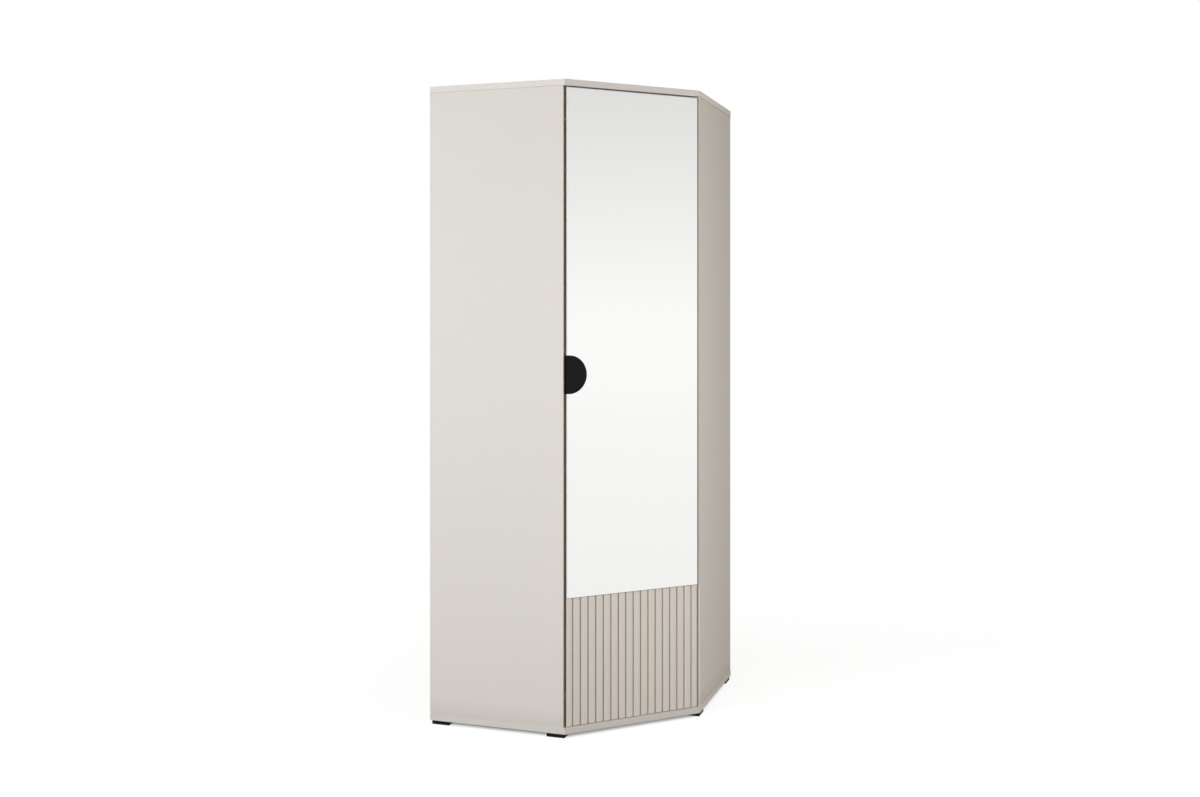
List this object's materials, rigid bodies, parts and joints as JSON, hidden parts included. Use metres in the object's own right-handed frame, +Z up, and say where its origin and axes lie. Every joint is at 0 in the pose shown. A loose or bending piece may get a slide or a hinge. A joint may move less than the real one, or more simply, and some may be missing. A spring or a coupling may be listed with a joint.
{
  "type": "corner wardrobe",
  "caption": "Five-sided corner wardrobe with one full-height mirrored door on its diagonal front, fluted below the mirror, a half-moon edge handle, a hat shelf and a hanging rail.",
  "frame": {"origin": "on the floor under the middle of the square plan", "axes": "+Z up; +X and +Y point at the two room walls, which meet at +X +Y; the door faces -X -Y; metres"},
  "size_m": [0.785, 0.785, 1.992],
  "materials": {
    "board": "melamine-faced chipboard, warm light grey, satin",
    "hardboard": "thin hardboard, pale printed face",
    "lacquer": "foil-wrapped fibreboard, warm light grey, satin",
    "silvered_glass": "silvered glass with polished edges",
    "dark_metal": "charcoal powder coat, matt",
    "zinc": "zinc or nickel plated",
    "chrome": "polished",
    "black_plastic": "moulded, matt",
    "clear_plastic": "soft clear bumper"
  },
  "bodies": {
    "cabinet": {"top_panel": "board", "bottom_panel": "board", "left_side_panel": "board", "right_side_panel": "board", "corner_post_left": "board", "corner_post_right": "board", "hat_shelf": "board", "back_sheet_left": "hardboard", "back_sheet_right": "hardboard", "foot_back_left": "black_plastic", "foot_left_corner": "black_plastic", "foot_right_corner": "black_plastic", "foot_back_right": "black_plastic", "foot_back_corner": "black_plastic", "door_pad_1": "clear_plastic", "door_pad_2": "clear_plastic", "door_pad_3": "clear_plastic", "hanging_rail": "chrome", "rail_hanger_left": "zinc", "rail_hanger_right": "zinc", "shelf_pin_left_front": "zinc", "shelf_pin_left_back": "zinc", "shelf_pin_left_corner": "zinc", "cam_lock_left_side_1": "zinc", "cam_lock_left_side_2": "zinc", "cam_lock_left_side_3": "zinc", "cam_lock_left_side_4": "zinc", "cam_lock_left_post_1": "zinc", "cam_lock_left_post_2": "zinc", "shelf_pin_right_front": "zinc", "shelf_pin_right_back": "zinc", "shelf_pin_right_corner": "zinc", "cam_lock_right_side_1": "zinc", "cam_lock_right_side_2": "zinc", "cam_lock_right_side_3": "zinc", "cam_lock_right_side_4": "zinc", "cam_lock_right_post_1": "zinc", "cam_lock_right_post_2": "zinc", "hinge_arm_1": "zinc", "hinge_arm_2": "zinc", "hinge_arm_3": "zinc", "hinge_arm_4": "zinc", "hinge_plate_1": "zinc", "hinge_plate_2": "zinc", "hinge_plate_3": "zinc", "hinge_plate_4": "zinc"},
    "hinge_links": {"hinge_link_1": "zinc", "hinge_link_2": "zinc", "hinge_link_3": "zinc", "hinge_link_4": "zinc"},
    "door": {"door_panel": "lacquer", "mirror": "silvered_glass", "handle": "dark_metal", "handle_screw_low": "dark_metal", "handle_screw_high": "dark_metal", "hinge_cup_1": "zinc", "hinge_cup_2": "zinc", "hinge_cup_3": "zinc", "hinge_cup_4": "zinc"}
  },
  "joints": [
    {"name": "link_swing", "type": "hinge", "parent": "cabinet", "child": "hinge_links", "pos_m": [-0.08402, -0.32356, 0], "axis": [0, 0, 1], "range_deg": [-45, 0]},
    {"name": "door_swing", "type": "hinge", "parent": "hinge_links", "child": "door", "pos_m": [-0.06705, -0.3575, 0], "axis": [0, 0, 1], "range_deg": [0, 135]}
  ],
  "couplings": [
    {"joint": "link_swing", "follows": "door_swing", "ratio": -0.33333}
  ]
}
